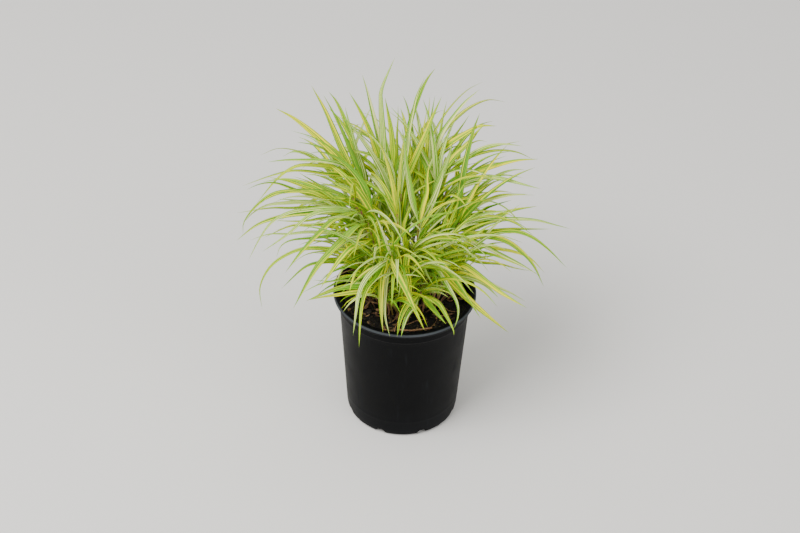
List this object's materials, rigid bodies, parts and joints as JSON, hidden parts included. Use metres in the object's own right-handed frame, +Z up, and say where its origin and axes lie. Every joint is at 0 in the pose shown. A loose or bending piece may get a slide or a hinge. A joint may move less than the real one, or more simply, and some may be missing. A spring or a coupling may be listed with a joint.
{
  "type": "variegated forest grass in a nursery pot",
  "caption": "Arching clump of striped yellow, cream and green grass blades on thin culms, growing in dark potting mix in a round black nursery pot.",
  "frame": {"origin": "centre of the pot's foot, on the surface it stands on", "axes": "+Z up along the pot's axis, -Y towards the viewer of the picture"},
  "size_m": [0.3756, 0.3595, 0.4231],
  "materials": {
    "pot_plastic": "black satin moulded plastic, faint scuffs and a paler worn lip",
    "potting_mix": "damp near-black composted bark and peat with brown chips",
    "grass": "thin satin leaf, striped lengthwise in yellow, cream and green"
  },
  "bodies": {
    "root": {"pot": "pot_plastic", "potting_mix": "potting_mix", "stem_back_centre": "grass", "stem_back_high": "grass", "stem_back_left": "grass", "stem_back_middle": "grass", "stem_back_right": "grass", "stem_centre": "grass", "stem_centre_right": "grass", "stem_front_centre": "grass", "stem_front_crown": "grass", "stem_front_left_foot": "grass", "stem_front_left_high": "grass", "stem_front_left_low": "grass", "stem_front_right_crown": "grass", "stem_front_right_foot": "grass", "stem_front_right_high": "grass", "stem_grown_01": "grass", "stem_grown_02": "grass", "stem_grown_03": "grass", "stem_grown_04": "grass", "stem_grown_05": "grass", "stem_grown_06": "grass", "stem_grown_07": "grass", "stem_grown_08": "grass", "stem_grown_09": "grass", "stem_grown_10": "grass", "stem_grown_11": "grass", "stem_grown_12": "grass", "stem_grown_13": "grass", "stem_grown_14": "grass", "stem_grown_15": "grass", "stem_grown_16": "grass", "stem_grown_17": "grass", "stem_grown_18": "grass", "stem_grown_19": "grass", "stem_grown_20": "grass", "stem_grown_21": "grass", "stem_grown_22": "grass", "stem_grown_23": "grass", "stem_grown_24": "grass", "stem_grown_25": "grass", "stem_grown_26": "grass", "stem_left_high": "grass", "stem_left_low": "grass", "stem_left_middle": "grass", "stem_left_shoulder": "grass", "stem_left_upper": "grass", "stem_right_high": "grass", "stem_right_low": "grass", "stem_right_middle": "grass", "stem_right_shoulder": "grass", "stem_right_upper": "grass"}
  },
  "joints": []
}
